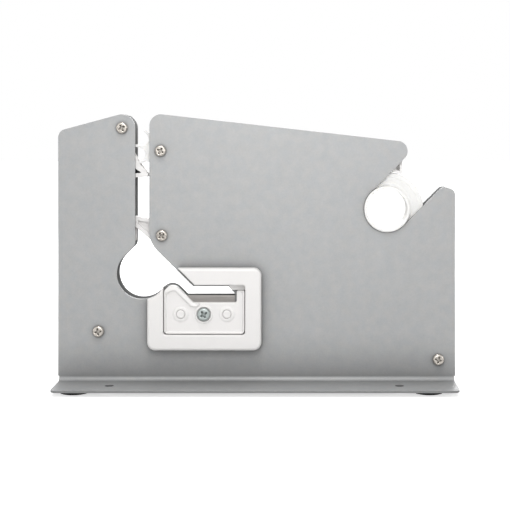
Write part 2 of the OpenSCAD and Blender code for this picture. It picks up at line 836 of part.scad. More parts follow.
module lower_spring() {
  color(steel) wire(spring_path(lower_p, 1, 0, coil_r, wire_r, stud_x + 2, peg_z + 1.5), wire_r);
}

// ---- Star wheel ----

module star_wheel() {
  half_step = 180 / star_teeth;
  gullet_r = (star_root_r * sin(half_step) - star_tooth_t / 2) / (1 - sin(half_step));
  gullet_at = star_root_r + gullet_r;
  mouth_at = star_tip_r + 3;
  mouth_r = mouth_at * sin(half_step) - star_tooth_t / 2;
  lean = asin((mouth_r - gullet_r) / (mouth_at - gullet_at));
  color(white) difference() {
    union() {
      slab(-star_w / 2, star_w / 2) translate(star_p) difference() {
        circle(r = star_tip_r, $fn = 96);
        for (i = [0:star_teeth - 1]) rotate((2 * i + star_turn) * half_step) {
          translate([gullet_at, 0]) circle(r = gullet_r, $fn = 32);
          polygon([
            [gullet_at - gullet_r * sin(lean), gullet_r * cos(lean)],
            [gullet_at - gullet_r * sin(lean), -gullet_r * cos(lean)],
            [mouth_at - mouth_r * sin(lean), -mouth_r * cos(lean)],
            [mouth_at - mouth_r * sin(lean), mouth_r * cos(lean)]
          ]);
        }
      }
      rod(star_p, star_hub_r, -part_y, part_y);
    }
    rod(star_p, post_r + run_gap, -in_y, in_y);
  }
}

// ---- Tape hub ----

module hub_tube() {
  color(white) turned(hub) polygon(smooth([
    [tube_r - tube_wall, -tube_end, 0],
    [tube_r, -tube_end, 0.6],
    [tube_r, -shoulder_half, 0],
    [tube_r + shoulder_h, -shoulder_half, 0.3],
    [tube_r + shoulder_h, shoulder_half, 0.3],
    [tube_r, shoulder_half, 0],
    [tube_r, tube_end, 0.6],
    [tube_r - tube_wall, tube_end, 0]
  ]));
}

// One half of the drum: side disc, rim flange and the wall that the tape core slides over
module drum_half() {
  recess = 0.3;
  lip = shoulder_half + part_gap;
  color(white) turned(hub) polygon([
    [tube_r + run_gap, lip],
    [tube_r + run_gap, part_y],
    [tube_r + 2.2, part_y],
    [tube_r + 2.2, part_y - recess],
    [drum_r - 3, part_y - recess],
    [drum_r - 3, part_y],
    [drum_r - 0.5, part_y],
    [drum_r, part_y - 0.5],
    [drum_r, 0],
    [drum_r - drum_wall, 0],
    [drum_r - drum_wall, lip]
  ]);
}

module drum_front() {
  drum_half();
}

module drum_rear() {
  mirror([0, 1, 0]) drum_half();
}

// ---- Hub latch ----

module finger(d, side) {
  right = hub[0] + finger_x - d;
  left = hub[0] + finger_x - finger_w + side;
  polygon(smooth([
    [latch_p[0] - 1, latch_p[1] + latch_boss_r - 0.6 - d, 0],
    [latch_p[0] - 0.4, latch_p[1] - latch_boss_r + 0.2, 0],
    [left, latch_p[1] - latch_boss_r - 3.2, 1],
    [left, hub[1] + drum_r - 4, 0],
    [right, hub[1] + drum_r - 4, 0],
    [right, latch_p[1] - 4, 3 - d],
    [latch_p[0] + 4, latch_p[1] + latch_boss_r - 0.6 - d, 1]
  ]));
}

module hub_latch() {
  color(white) difference() {
    union() {
      slab(-part_y, -0.2) difference() {
        union() {
          finger(0, 0);
          translate(latch_p) circle(r = latch_boss_r);
        }
        translate(hub) circle(r = finger_end_r, $fn = 96);
      }
      rod(latch_p + latch_peg, latch_peg_r, -0.3, part_y - 0.6);
    }
    rod(latch_p, latch_stud_r + run_gap, -in_y, in_y);
    slab(-part_y - 1, -1.1) difference() {
      finger(finger_wall, finger_side);
      translate(latch_p) circle(r = latch_boss_r);
      translate(hub) circle(r = finger_end_r + finger_wall, $fn = 96);
    }
  }
}

module latch_spring() {
  color(steel) wire(spring_path(latch_p, 1, 180, latch_coil_r, latch_wire_r,
    1.2 - latch_anchor[0], 1 - latch_peg[1]), latch_wire_r);
}

// ---- Trimmer on the front plate ----

// The part of the frame that stays open to the window and the slanted edge
function mouth_pts() =
  let (top = housing_z + housing_h + 5, low = in_top - 3, back = slant_sum + slant_back * diag)
  smooth([
    [housing_x - 5, top, 0],
    [housing_x - 5, win[1], 0],
    [in_l + 6, low, 0],
    [back - low, low, 0],
    [back - top, top, 0]
  ]);

function rounded(l, low, r, top, rad) =
  smooth([[l, low, rad], [r, low, rad], [r, top, rad], [l, top, rad]]);

module trimmer_housing() {
  right = housing_x + housing_w;
  top = housing_z + housing_h;
  mouth_r = window_r + 0.2;
  front = out_y + housing_d;
  ledge_x = channel_x + 0.6;
  ledge_z = arm_top + part_gap;
  color(white) {
    difference() {
      stacked(rounded(housing_x, housing_z, right, top, housing_r),
        pillow(housing_d, housing_edge));
      stacked(rounded(in_l, in_low, in_r, in_top, opening_r), flare(housing_d, mouth_edge));
      stacked(mouth_pts(), flare(housing_d, mouth_edge));
      rod(win, mouth_r, -front - 1, -out_y + 1);
      turned(win) polygon([
        [0, front - mouth_edge],
        [mouth_r - 0.1, front - mouth_edge],
        [mouth_r + mouth_edge + 0.9, front + 1],
        [0, front + 1]
      ]);
      for (p = housing_screw_p) rod(p, small_r + thread_gap, -front + 1.5, -out_y + 1);
    }
    slab(-out_y - ledge_t, -out_y) polygon([
      [ledge_x + (channel_top - ledge_z) * 0.9, ledge_z],
      [in_r + 1, ledge_z],
      [in_r + 1, in_top + 1],
      [ledge_x, in_top + 1],
      [ledge_x, channel_top]
    ]);
  }
}

module housing_screws() {
  color(steel) for (p = housing_screw_p) {
    rod(p, small_r, -out_y - housing_d + 2, -in_y + 0.2);
    rod(p, small_head_r, -in_y, -in_y + small_head_h);
  }
}

// The holder's outline, moved inwards by d
function holder_pts(d) =
  let (sum = hump_sum + (lobe_out - d) * diag, dif = hump_dif - (lobe_in + d) * diag)
  let (top = holder_top - d, arm = holder_r - arm_w + d)
  smooth([
    [holder_l + d, holder_low + d, max(0.5, 2.4 - d)],
    [holder_r - d, holder_low + d, max(0.5, 2.4 - d)],
    [holder_r - d, arm_top - d, d > 0 ? 0.4 : 1.2],
    [arm, arm_top - d, d > 0 ? 0.4 : 1.2],
    [arm, top, 1],
    [sum - top, top, 1.5],
    [(sum - dif) / 2, (sum + dif) / 2, holder_lobe_r - d],
    [holder_l + d, holder_l + d + dif, 1]
  ]);

module blade_holder() {
  boss_in = holder_head_r + 0.4;
  pin_ring = pin_r + 1.5;
  floor_y = holder_y + field_d;
  color(white) difference() {
    union() {
      difference() {
        slab(holder_y, -out_y) polygon(holder_pts(0));
        slab(holder_y - 1, floor_y) polygon(holder_pts(rim_w));
      }
      rod(holder_screw_p, boss_in + 1.2, holder_y + 0.4, floor_y + 0.5);
      for (p = pin_p) rod(p, pin_ring, holder_y + 0.5, floor_y + 0.5);
    }
    rod(holder_screw_p, boss_in, holder_y, floor_y);
    rod(holder_screw_p, screw_r + hole_gap, holder_y - 1, -out_y + 1);
    for (p = pin_p) rod(p, pin_r + seat_gap, holder_y - 1, -out_y + 1);
    translate([blade_mid - blade_len / 2 - 0.2, -out_y - blade_t - seat_gap,
        blade_top - blade_h - 0.2])
      cube([blade_len + 0.4, blade_t + 1, blade_h + 1]);
  }
}

module trimmer_blade() {
  color(steel) difference() {
    translate([blade_mid - blade_len / 2, -out_y, 0]) rotate([90, 0, 90])
      linear_extrude(blade_len) polygon([
        [0, blade_top - blade_h],
        [0, blade_top - blade_bevel],
        [-blade_t / 2, blade_top],
        [-blade_t, blade_top - blade_bevel],
        [-blade_t, blade_top - blade_h]
      ]);
    rod(holder_screw_p, screw_r + hole_gap, -out_y - 2, -out_y + 1);
    for (p = pin_p) rod(p, pin_r + seat_gap, -out_y - 2, -out_y + 1);
  }
}

module locating_pins() {
  pin_end = out_y + holder_d - 0.3;
  color(white) for (p = pin_p) turned(p) polygon(smooth([
    [0, in_y, 0],
    [pin_r, in_y, 0],
    [pin_r, pin_end, 0.8],
    [0, pin_end, 0]
  ]));
}

module holder_screw() {
  seat = holder_d - field_d;
  color(steel) translate([0, -seat, 0])
    pan_screw(holder_screw_p, 45, holder_head_r, seat + sheet_t + nut_h - 0.4);
}

module clinch_nut() {
  color(steel) difference() {
    rod(holder_screw_p, nut_r, -in_y, -in_y + nut_h);
    rod(holder_screw_p, screw_r + thread_gap, -in_y - 1, -in_y + nut_h + 1);
  }
}

front_plate();
rear_plate();
spacer_posts();
gate_post();
star_post();
lower_post();
front_screws();
rear_screws();
rubber_feet();
stop_studs();
latch_stud();
gate_lever();
gate_spring();
barb_plate();
tape_knife();
lower_lever();
lower_spring();
star_wheel();
hub_tube();
drum_front();
drum_rear();
hub_latch();
latch_spring();
trimmer_housing();
housing_screws();
blade_holder();
trimmer_blade();
locating_pins();
holder_screw();
clinch_nut();
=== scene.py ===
import json
import math

import bmesh
import bpy
from mathutils import Matrix, Vector, geometry, kdtree


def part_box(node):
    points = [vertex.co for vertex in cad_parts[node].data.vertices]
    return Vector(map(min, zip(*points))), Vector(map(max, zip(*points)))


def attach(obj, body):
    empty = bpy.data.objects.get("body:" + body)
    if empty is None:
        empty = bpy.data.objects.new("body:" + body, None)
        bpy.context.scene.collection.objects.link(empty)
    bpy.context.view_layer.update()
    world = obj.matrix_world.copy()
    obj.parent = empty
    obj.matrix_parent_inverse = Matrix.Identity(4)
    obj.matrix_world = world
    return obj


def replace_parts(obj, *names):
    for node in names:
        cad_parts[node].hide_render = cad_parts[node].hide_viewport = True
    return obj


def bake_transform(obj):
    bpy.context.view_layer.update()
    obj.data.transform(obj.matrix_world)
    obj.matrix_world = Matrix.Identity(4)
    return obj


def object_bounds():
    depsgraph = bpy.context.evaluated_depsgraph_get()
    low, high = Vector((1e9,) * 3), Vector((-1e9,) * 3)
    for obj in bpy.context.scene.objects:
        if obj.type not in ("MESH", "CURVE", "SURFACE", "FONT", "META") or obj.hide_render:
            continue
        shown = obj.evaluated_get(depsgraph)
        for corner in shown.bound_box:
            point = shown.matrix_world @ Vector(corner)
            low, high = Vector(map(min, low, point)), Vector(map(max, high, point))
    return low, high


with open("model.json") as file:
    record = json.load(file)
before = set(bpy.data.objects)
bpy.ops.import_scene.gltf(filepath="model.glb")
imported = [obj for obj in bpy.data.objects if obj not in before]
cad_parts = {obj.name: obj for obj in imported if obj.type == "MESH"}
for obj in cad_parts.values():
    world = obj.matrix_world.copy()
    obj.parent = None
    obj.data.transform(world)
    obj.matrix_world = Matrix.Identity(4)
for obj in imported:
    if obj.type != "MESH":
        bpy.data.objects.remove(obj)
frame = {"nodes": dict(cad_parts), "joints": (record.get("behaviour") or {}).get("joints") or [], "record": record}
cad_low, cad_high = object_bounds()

bl_info = {
    "name": "Bag neck sealer",
    "version": (1, 0, 0),
    "blender": (4, 5, 0),
    "location": "View3D > Sidebar > Sealer",
    "description": "Gives the bag neck sealer its paint, mouldings, screws, springs and stage",
    "category": "Add Mesh",
}

TURN = 2 * math.pi


# ---- Sizes and colours ----

class SealerSizes(bpy.types.PropertyGroup):
    sheet_edge: bpy.props.FloatProperty(
        name="Sheet edge", description="Rounding of the painted sheet's cut edges",
        default=0.00045, min=0.00005, max=0.0007, precision=5, subtype="DISTANCE", unit="LENGTH")
    lever_edge: bpy.props.FloatProperty(
        name="Lever edge", description="Rounding of the moulded levers and the star wheel",
        default=0.00025, min=0.00005, max=0.0004, precision=5, subtype="DISTANCE", unit="LENGTH")
    metal_edge: bpy.props.FloatProperty(
        name="Metal edge", description="Rounding of posts, studs and blades",
        default=0.00008, min=0.00002, max=0.0002, precision=5, subtype="DISTANCE", unit="LENGTH")
    holder_floor: bpy.props.FloatProperty(
        name="Holder floor", description="Depth of the blade holder's floor below its rim",
        default=0.0011, min=0.0005, max=0.0015, precision=5, subtype="DISTANCE", unit="LENGTH")
    recess_depth: bpy.props.FloatProperty(
        name="Recess depth", description="Depth of the cross recess in the screw heads",
        default=0.0013, min=0.0005, max=0.0018, precision=5, subtype="DISTANCE", unit="LENGTH")


class SealerColours(bpy.types.PropertyGroup):
    paint: bpy.props.FloatVectorProperty(
        name="Paint", description="Silver-grey paint of the side plates",
        default=(0.420, 0.423, 0.422), min=0, max=1, subtype="COLOR")
    moulding: bpy.props.FloatVectorProperty(
        name="White moulding", description="White plastic of the trimmer and the levers",
        default=(0.83, 0.814, 0.802), min=0, max=1, subtype="COLOR")
    nylon: bpy.props.FloatVectorProperty(
        name="Natural nylon", description="Translucent plastic of the star wheel and the hub",
        default=(0.90, 0.89, 0.865), min=0, max=1, subtype="COLOR")
    nickel: bpy.props.FloatVectorProperty(
        name="Nickel", description="Bright nickel plate of the pan head screws",
        default=(0.60, 0.56, 0.51), min=0, max=1, subtype="COLOR")
    zinc: bpy.props.FloatVectorProperty(
        name="Zinc", description="Blue zinc plate of the holder's screw",
        default=(0.42, 0.46, 0.45), min=0, max=1, subtype="COLOR")
    blade: bpy.props.FloatVectorProperty(
        name="Blade steel", description="Ground steel of the blades",
        default=(0.265, 0.252, 0.240), min=0, max=1, subtype="COLOR")
    wire: bpy.props.FloatVectorProperty(
        name="Spring wire", description="Drawn steel wire",
        default=(0.36, 0.36, 0.37), min=0, max=1, subtype="COLOR")
    rubber: bpy.props.FloatVectorProperty(
        name="Rubber", description="Black rubber of the feet",
        default=(0.022, 0.022, 0.024), min=0, max=1, subtype="COLOR")


class SealerStage(bpy.types.PropertyGroup):
    distance: bpy.props.FloatProperty(
        name="Camera distance", description="From the camera to the front plate",
        default=0.706, min=0.4, max=1.5, subtype="DISTANCE", unit="LENGTH")
    side: bpy.props.FloatProperty(
        name="Camera side", description="Camera's place along the plates",
        default=0.0284, min=-0.2, max=0.2, subtype="DISTANCE", unit="LENGTH")
    height: bpy.props.FloatProperty(
        name="Camera height", description="Camera's height above the surface",
        default=0.1652, min=0.05, max=0.5, subtype="DISTANCE", unit="LENGTH")
    focal: bpy.props.FloatProperty(
        name="Focal length", description="Lens of the camera, in millimetres",
        default=76.1, min=30, max=150)


def sizes():
    return bpy.context.scene.sealer_sizes


def colours():
    return bpy.context.scene.sealer_colours


def stage_values():
    return bpy.context.scene.sealer_stage


# ---- Shader node groups ----

class Nodes:
    """Short calls to fill a node tree."""

    def __init__(self, tree):
        self.tree = tree

    def add(self, kind, **settings):
        node = self.tree.nodes.new(kind)
        for key, value in settings.items():
            setattr(node, key, value)
        return node

    def join(self, source, target):
        self.tree.links.new(source, target)

    def math(self, operation, a, b=None, clamp=False):
        node = self.add("ShaderNodeMath", operation=operation, use_clamp=clamp)
        for socket, value in zip(node.inputs, (a, b)):
            if value is None:
                continue
            if isinstance(value, (int, float)):
                socket.default_value = value
            else:
                self.join(value, socket)
        return node.outputs[0]

    def noise(self, vector, scale, detail=3.0, roughness=0.5):
        node = self.add("ShaderNodeTexNoise")
        node.inputs["Detail"].default_value = detail
        node.inputs["Roughness"].default_value = roughness
        if isinstance(scale, (int, float)):
            node.inputs["Scale"].default_value = scale
        else:
            self.join(scale, node.inputs["Scale"])
        self.join(vector, node.inputs["Vector"])
        return node.outputs["Fac"]

    def spread(self, value, low, high, out_low=0.0, out_high=1.0):
        node = self.add("ShaderNodeMapRange")
        self.join(value, node.inputs["Value"])
        for name, limit in (("From Min", low), ("From Max", high),
                            ("To Min", out_low), ("To Max", out_high)):
            if isinstance(limit, (int, float)):
                node.inputs[name].default_value = limit
            else:
                self.join(limit, node.inputs[name])
        return node.outputs["Result"]

    def mix(self, factor, a, b, blend="MIX"):
        node = self.add("ShaderNodeMix", data_type="RGBA", blend_type=blend)
        for name, value in (("Factor", factor), ("A", a), ("B", b)):
            socket = next(s for s in node.inputs
                          if s.name == name and s.type == ("VALUE" if name == "Factor" else "RGBA"))
            if isinstance(value, (int, float)):
                socket.default_value = value
            elif isinstance(value, tuple):
                socket.default_value = (*value[:3], 1.0)
            else:
                self.join(value, socket)
        return next(s for s in node.outputs if s.type == "RGBA")


def group(name, inputs, outputs):
    """An empty node group with its sockets: (name, type, default)."""
    tree = bpy.data.node_groups.new(name, "ShaderNodeTree")
    kinds = {"value": "NodeSocketFloat", "colour": "NodeSocketColor", "vector": "NodeSocketVector"}
    for label, kind, default in inputs:
        socket = tree.interface.new_socket(label, in_out="INPUT", socket_type=kinds[kind])
        if default is not None:
            socket.default_value = default
    for label, kind in outputs:
        tree.interface.new_socket(label, in_out="OUTPUT", socket_type=kinds[kind])
    nodes = Nodes(tree)
    return nodes, nodes.add("NodeGroupInput").outputs, nodes.add("NodeGroupOutput").inputs


def mottle_group():
    """Cloudy change of tone at two scales, with its height."""
    n, given, out = group("Mottle", [
        ("Vector", "vector", None), ("Colour", "colour", (0.5, 0.5, 0.5, 1)),
        ("Scale", "value", 500.0), ("Amount", "value", 0.05)],
        [("Colour", "colour"), ("Height", "value")])
    fine = n.noise(given["Vector"], given["Scale"], 4.0, 0.6)
    broad = n.noise(given["Vector"], n.math("MULTIPLY", given["Scale"], 0.16), 2.0)
    both = n.math("ADD", n.math("MULTIPLY", fine, 0.65), n.math("MULTIPLY", broad, 0.35))
    centred = n.math("MULTIPLY", n.math("SUBTRACT", both, 0.5), given["Amount"])
    tone = n.math("ADD", n.math("MULTIPLY", centred, 4.0), 1.0)
    scaled = n.add("ShaderNodeVectorMath", operation="SCALE")
    n.join(given["Colour"], scaled.inputs[0])
    n.join(tone, scaled.inputs["Scale"])
    n.join(scaled.outputs[0], out["Colour"])
    n.join(fine, out["Height"])
    return n.tree


def edge_group():
    """A mask along rounded and sharp edges, for lighter colour there: the painted highlight on the plates' edges,
    and the lighter edges of the feet.
    """
    n, given, out = group("Edges", [("Radius", "value", 0.0008)], [("Mask", "value")])
    bevel = n.add("ShaderNodeBevel", samples=6)
    n.join(given["Radius"], bevel.inputs["Radius"])
    geometry = n.add("ShaderNodeNewGeometry")
    dot = n.add("ShaderNodeVectorMath", operation="DOT_PRODUCT")
    n.join(bevel.outputs["Normal"], dot.inputs[0])
    n.join(geometry.outputs["True Normal"], dot.inputs[1])
    n.join(n.spread(dot.outputs["Value"], 0.995, 0.75), out["Mask"])
    return n.tree


def hollow_group():
    """A mask that grows in corners and recesses, for painted shade there."""
    n, given, out = group("Hollows", [
        ("Distance", "value", 0.003), ("Open", "value", 0.75), ("Shut", "value", 0.15)],
        [("Mask", "value")])
    shade = n.add("ShaderNodeAmbientOcclusion", samples=8)
    n.join(given["Distance"], shade.inputs["Distance"])
    n.join(n.spread(shade.outputs["AO"], given["Open"], given["Shut"]), out["Mask"])
    return n.tree


def cloud_group():
    """Slow drifts of tint in a sprayed coat, a little pink here and a little blue there."""
    n, given, out = group("Clouds", [
        ("Vector", "vector", None), ("Scale", "value", 190.0)], [("Colour", "colour")])
    blotch = n.noise(given["Vector"], given["Scale"], 3.0, 0.55)
    drift = n.noise(given["Vector"], n.math("MULTIPLY", given["Scale"], 0.14), 2.0)
    tint = n.mix(n.spread(blotch, 0.34, 0.66), (0.935, 0.950, 0.970), (1.0, 0.992, 0.985))
    tone = n.mix(n.spread(drift, 0.35, 0.65), (0.985, 0.985, 0.985), (1.0, 1.0, 1.0))
    n.join(n.mix(1.0, tint, tone, "MULTIPLY"), out["Colour"])
    return n.tree


def grain_group():
    """Fine lines drawn along one direction, as grinding or drawing leaves them."""
    n, given, out = group("Grain", [
        ("Vector", "vector", None), ("Stretch", "vector", (60.0, 4000.0, 4000.0))],
        [("Lines", "value")])
    scaled = n.add("ShaderNodeVectorMath", operation="MULTIPLY")
    n.join(given["Vector"], scaled.inputs[0])
    n.join(given["Stretch"], scaled.inputs[1])
    n.join(n.noise(scaled.outputs[0], 1.0, 2.0, 0.6), out["Lines"])
    return n.tree


GROUPS = {}


def shared(name):
    makers = {"Mottle": mottle_group, "Edges": edge_group, "Hollows": hollow_group,
              "Clouds": cloud_group, "Grain": grain_group}
    if name not in GROUPS:
        GROUPS[name] = makers[name]()
    return GROUPS[name]


# ---- Materials ----

class Finish:
    """A material with one Principled shader and the shared groups placed in it."""

    def __init__(self, name, **values):
        self.material = bpy.data.materials.new(name)
        self.material.use_nodes = True
        tree = self.material.node_tree
        self.nodes = Nodes(tree)
        self.shader = tree.nodes["Principled BSDF"]
        self.place = self.nodes.add("ShaderNodeTexCoord").outputs["Object"]
        for socket, value in values.items():
            self.shader.inputs[socket.replace("_", " ")].default_value = value

    def use(self, name, **values):
        node = self.nodes.add("ShaderNodeGroup", node_tree=shared(name))
        for socket, value in values.items():
            node.inputs[socket].default_value = value
        if "Vector" in node.inputs:
            self.nodes.join(self.place, node.inputs["Vector"])
        return node.outputs

    def colour(self, socket):
        self.nodes.join(socket, self.shader.inputs["Base Color"])

    def roughness(self, value, low, high):
        self.nodes.join(self.nodes.spread(value, 0.3, 0.7, low, high), self.shader.inputs["Roughness"])

    def bump(self, height, strength, distance):
        node = self.nodes.add("ShaderNodeBump")
        node.inputs["Strength"].default_value = strength
        node.inputs["Distance"].default_value = distance
        self.nodes.join(height, node.inputs["Height"])
        self.nodes.join(node.outputs["Normal"], self.shader.inputs["Normal"])


def opaque(colour, factor=1.0):
    return (*(min(1.0, channel * factor) for channel in colour[:3]), 1.0)


def paint_finish():
    """Silver-grey powder coat: cloudy mottle, a painted highlight along the edges, and painted shade towards the
    bends and between the plates.
    """
    f = Finish("plate_paint", Metallic=0.25, Specular_IOR_Level=0.4)
    fine = f.use("Mottle", Colour=opaque(colours().paint), Scale=900.0, Amount=0.085)
    cloud = f.use("Clouds")["Colour"]
    # Painted highlight: the paint is made lighter along the sheet's edges.
    edges = f.use("Edges", Radius=0.0008)["Mask"]
    # Painted shade: darker towards the bends, under the trimmer and on the plates' inner faces.
    shade = f.use("Hollows", Distance=0.032, Open=0.97, Shut=0.44)["Mask"]
    # Painted shade in tight corners, most of all under the trimmer housing.
    nook_shade = f.use("Hollows", Distance=0.009, Open=0.92, Shut=0.45)["Mask"]
    tinted = f.nodes.mix(1.0, fine["Colour"], cloud, "MULTIPLY")
    tone = tinted
    # Blends the painted edge highlight and the two painted shades into the paint.
    for mask, amount, factor in ((edges, 0.30, 1.3), (shade, 0.90, 0.44), (nook_shade, 0.22, 0.12)):
        tone = f.nodes.mix(f.nodes.math("MULTIPLY", mask, amount), tone,
                           opaque(colours().paint, factor))
    f.colour(tone)
    f.roughness(fine["Height"], 0.40, 0.54)
    f.bump(fine["Height"], 0.25, 0.00006)
    return f.material


def moulding_finish(name, colour, shade=0.10, **values):
    """Satin moulded plastic with a faint skin, and painted shade in its corners and recesses."""
    f = Finish(name, **values)
    mottle = f.use("Mottle", Colour=opaque(colour), Scale=900.0, Amount=0.012)
    # Painted shade: greyer in tight corners and, more broadly, in recesses such as the holder's lobe.
    recess_shade = f.use("Hollows", Distance=0.0022)["Mask"]
    broad = f.use("Hollows", Distance=0.006, Open=0.98, Shut=0.55)["Mask"]
    broadly_shaded = f.nodes.mix(f.nodes.math("MULTIPLY", broad, shade * 2.5), mottle["Colour"],
                       opaque(colour, 0.60))
    f.colour(f.nodes.mix(f.nodes.math("MULTIPLY", recess_shade, shade * 4), broadly_shaded, opaque(colour, 0.55)))
    f.roughness(mottle["Height"], 0.36, 0.46)
    f.bump(mottle["Height"], 0.12, 0.00003)
    return f.material


def white_finish():
    return moulding_finish("white_moulding", colours().moulding)


def nylon_finish():
    return moulding_finish("natural_nylon", colours().nylon, 0.04, Subsurface_Weight=0.35,
                           Subsurface_Radius=(0.004, 0.0038, 0.0034), Subsurface_Scale=1.0)


def plated_finish(name, colour, low, high):
    """Bright plate over turned steel, with painted shade in the recesses."""
    f = Finish(name, Metallic=1.0)
    mottle = f.use("Mottle", Colour=opaque(colour), Scale=1400.0, Amount=0.05)
    # Painted shade: darker in the cross recess and under the head.
    recess_shade = f.use("Hollows", Distance=0.0018, Open=0.86, Shut=0.30)["Mask"]
    f.colour(f.nodes.mix(f.nodes.math("MULTIPLY", recess_shade, 0.95), mottle["Colour"],
                         opaque(colour, 0.10)))
    f.roughness(mottle["Height"], low, high)
    f.bump(mottle["Height"], 0.2, 0.00003)
    return f.material


def nickel_finish():
    return plated_finish("nickel_plate", colours().nickel, 0.16, 0.3)


def zinc_finish():
    return plated_finish("zinc_plate", colours().zinc, 0.48, 0.6)


def blade_finish():
    """Ground blade steel, its lines along the edge."""
    f = Finish("blade_steel", Metallic=0.85)
    lines = f.use("Grain")["Lines"]
    tone = f.nodes.spread(lines, 0.3, 0.7, 0.85, 1.15)
    scaled = f.nodes.add("ShaderNodeVectorMath", operation="SCALE")
    scaled.inputs[0].default_value = colours().blade[:3]
    f.nodes.join(tone, scaled.inputs["Scale"])
    f.colour(scaled.outputs[0])
    f.roughness(lines, 0.36, 0.5)
    f.bump(lines, 0.2, 0.00002)
    return f.material


def barb_shade_steel_finish():
    """Steel of the insert inside the gate's barb, made near-black: its colour is also painted shade for the deep
    shade in the barb's window.
    """
    f = Finish("barb_insert_shade", Metallic=0.6)
    # Near-black colour: painted shade in the barb's window as well as the insert's own dark steel.
    mottle = f.use("Mottle", Colour=(0.05, 0.05, 0.052, 1), Scale=900.0, Amount=0.06)
    f.colour(mottle["Colour"])
    f.roughness(mottle["Height"], 0.4, 0.55)
    f.bump(mottle["Height"], 0.15, 0.00003)
    return f.material


def wire_finish():
    f = Finish("spring_wire", Metallic=0.9)
    mottle = f.use("Mottle", Colour=opaque(colours().wire), Scale=1800.0, Amount=0.06)
    f.colour(mottle["Colour"])
    f.roughness(mottle["Height"], 0.25, 0.4)
    f.bump(mottle["Height"], 0.2, 0.00002)
    return f.material


def rubber_finish():
    f = Finish("black_rubber", Specular_IOR_Level=0.35)
    mottle = f.use("Mottle", Colour=opaque(colours().rubber), Scale=1100.0, Amount=0.12)
    edges = f.use("Edges", Radius=0.0006)["Mask"]
    f.colour(f.nodes.mix(f.nodes.math("MULTIPLY", edges, 0.4), mottle["Colour"],
                         opaque(colours().rubber, 3.0)))
    f.roughness(mottle["Height"], 0.6, 0.75)
    f.bump(mottle["Height"], 0.3, 0.00008)
    return f.material


FINISH_MAKERS = {
    "paint": paint_finish,
    "white": white_finish,
    "nylon": nylon_finish,
    "nickel": nickel_finish,
    "zinc": zinc_finish,
    "blade": blade_finish,
    "dark": barb_shade_steel_finish,
    "wire": wire_finish,
    "rubber": rubber_finish,
}
FINISHES = {}


def finish(name):
    if name not in FINISHES:
        FINISHES[name] = FINISH_MAKERS[name]()
    return FINISHES[name]


# ---- Pieces ----

def body_and_slot(node):
    record = frame["record"]
    body = next(b for b, nodes in record["behaviour"]["bodies"].items() if node in nodes)
    slot = next(s["material_slot"] for s in record["subparts"] if s["node"] == node)
    return body, slot


def place_piece(name, mesh, look, body, sharp=40):
    """Links a mesh as a piece on a body, with smooth shading and weighted normals."""
    for polygon in mesh.polygons:
        polygon.use_smooth = True
    mesh.set_sharp_from_angle(angle=math.radians(sharp))
    mesh.materials.clear()
    mesh.materials.append(finish(look))
    piece = bpy.data.objects.new(name, mesh)
    bpy.context.scene.collection.objects.link(piece)
    weighted = piece.modifiers.new("Normals", "WEIGHTED_NORMAL")
    weighted.keep_sharp = True
    if body:
        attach(piece, body)
    return piece


def drop_layers(mesh):
    """Takes away the CAD mesh's own normals and map, which no longer fit."""
    for layer in ("custom_normal", "UVMap"):
        if layer in mesh.attributes:
            mesh.attributes.remove(mesh.attributes[layer])


SHARP_ANGLE = math.radians(32)
FLAT_ANGLE = math.radians(0.7)


def rounded_mesh(node, width, steps=2):
    """The node's shape with its sharp edges rounded."""
    mesh = bpy.data.meshes.new(node + "_rounded")
    form = bmesh.new()
    form.from_mesh(frame["nodes"][node].data)
    bmesh.ops.remove_doubles(form, verts=form.verts, dist=1e-6)
    bmesh.ops.dissolve_limit(form, angle_limit=FLAT_ANGLE, verts=form.verts,
                             edges=form.edges, use_dissolve_boundaries=False)
    sharp = [e for e in form.edges
             if len(e.link_faces) == 2 and e.calc_face_angle(0.0) > SHARP_ANGLE]
    bmesh.ops.bevel(form, geom=sharp, offset=width, offset_type="OFFSET", segments=steps,
                    profile=0.5, affect="EDGES", clamp_overlap=True, loop_slide=True,
                    harden_normals=False, miter_outer="SHARP", miter_inner="SHARP")
    form.to_mesh(mesh)
    form.free()
    drop_layers(mesh)
    return mesh


def dress(node, look, width, steps=2):
    """Stands a rounded piece in for a CAD node."""
    body, slot = body_and_slot(node)
    piece = place_piece(node + "_piece", rounded_mesh(node, width, steps), look, body)
    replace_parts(piece, node)
    return piece


def keep(node, look):
    """Leaves a CAD node as it is, with its finish."""
    materials = frame["nodes"][node].data.materials
    materials.clear()
    materials.append(finish(look))


# ---- Screws ----

def smooth_step(low, high, value):
    t = min(1.0, max(0.0, (value - low) / (high - low)))
    return t * t * (3 - 2 * t)


def recess_at(x, y, reach, arm, depth):
    """Depth of a cross recess at a point of the head, with sloping ends."""
    along, across = max(abs(x), abs(y)), min(abs(x), abs(y))
    wide = arm * (1.0 - 0.35 * along / reach)
    inside = 1.0 - smooth_step(wide * 0.75, wide * 1.15, across)
    core = 1.0 - smooth_step(arm * 1.1, arm * 1.9, math.hypot(x, y))
    slope = 1.0 - smooth_step(reach * 0.45, reach, along)
    return depth * max(inside * slope, core)


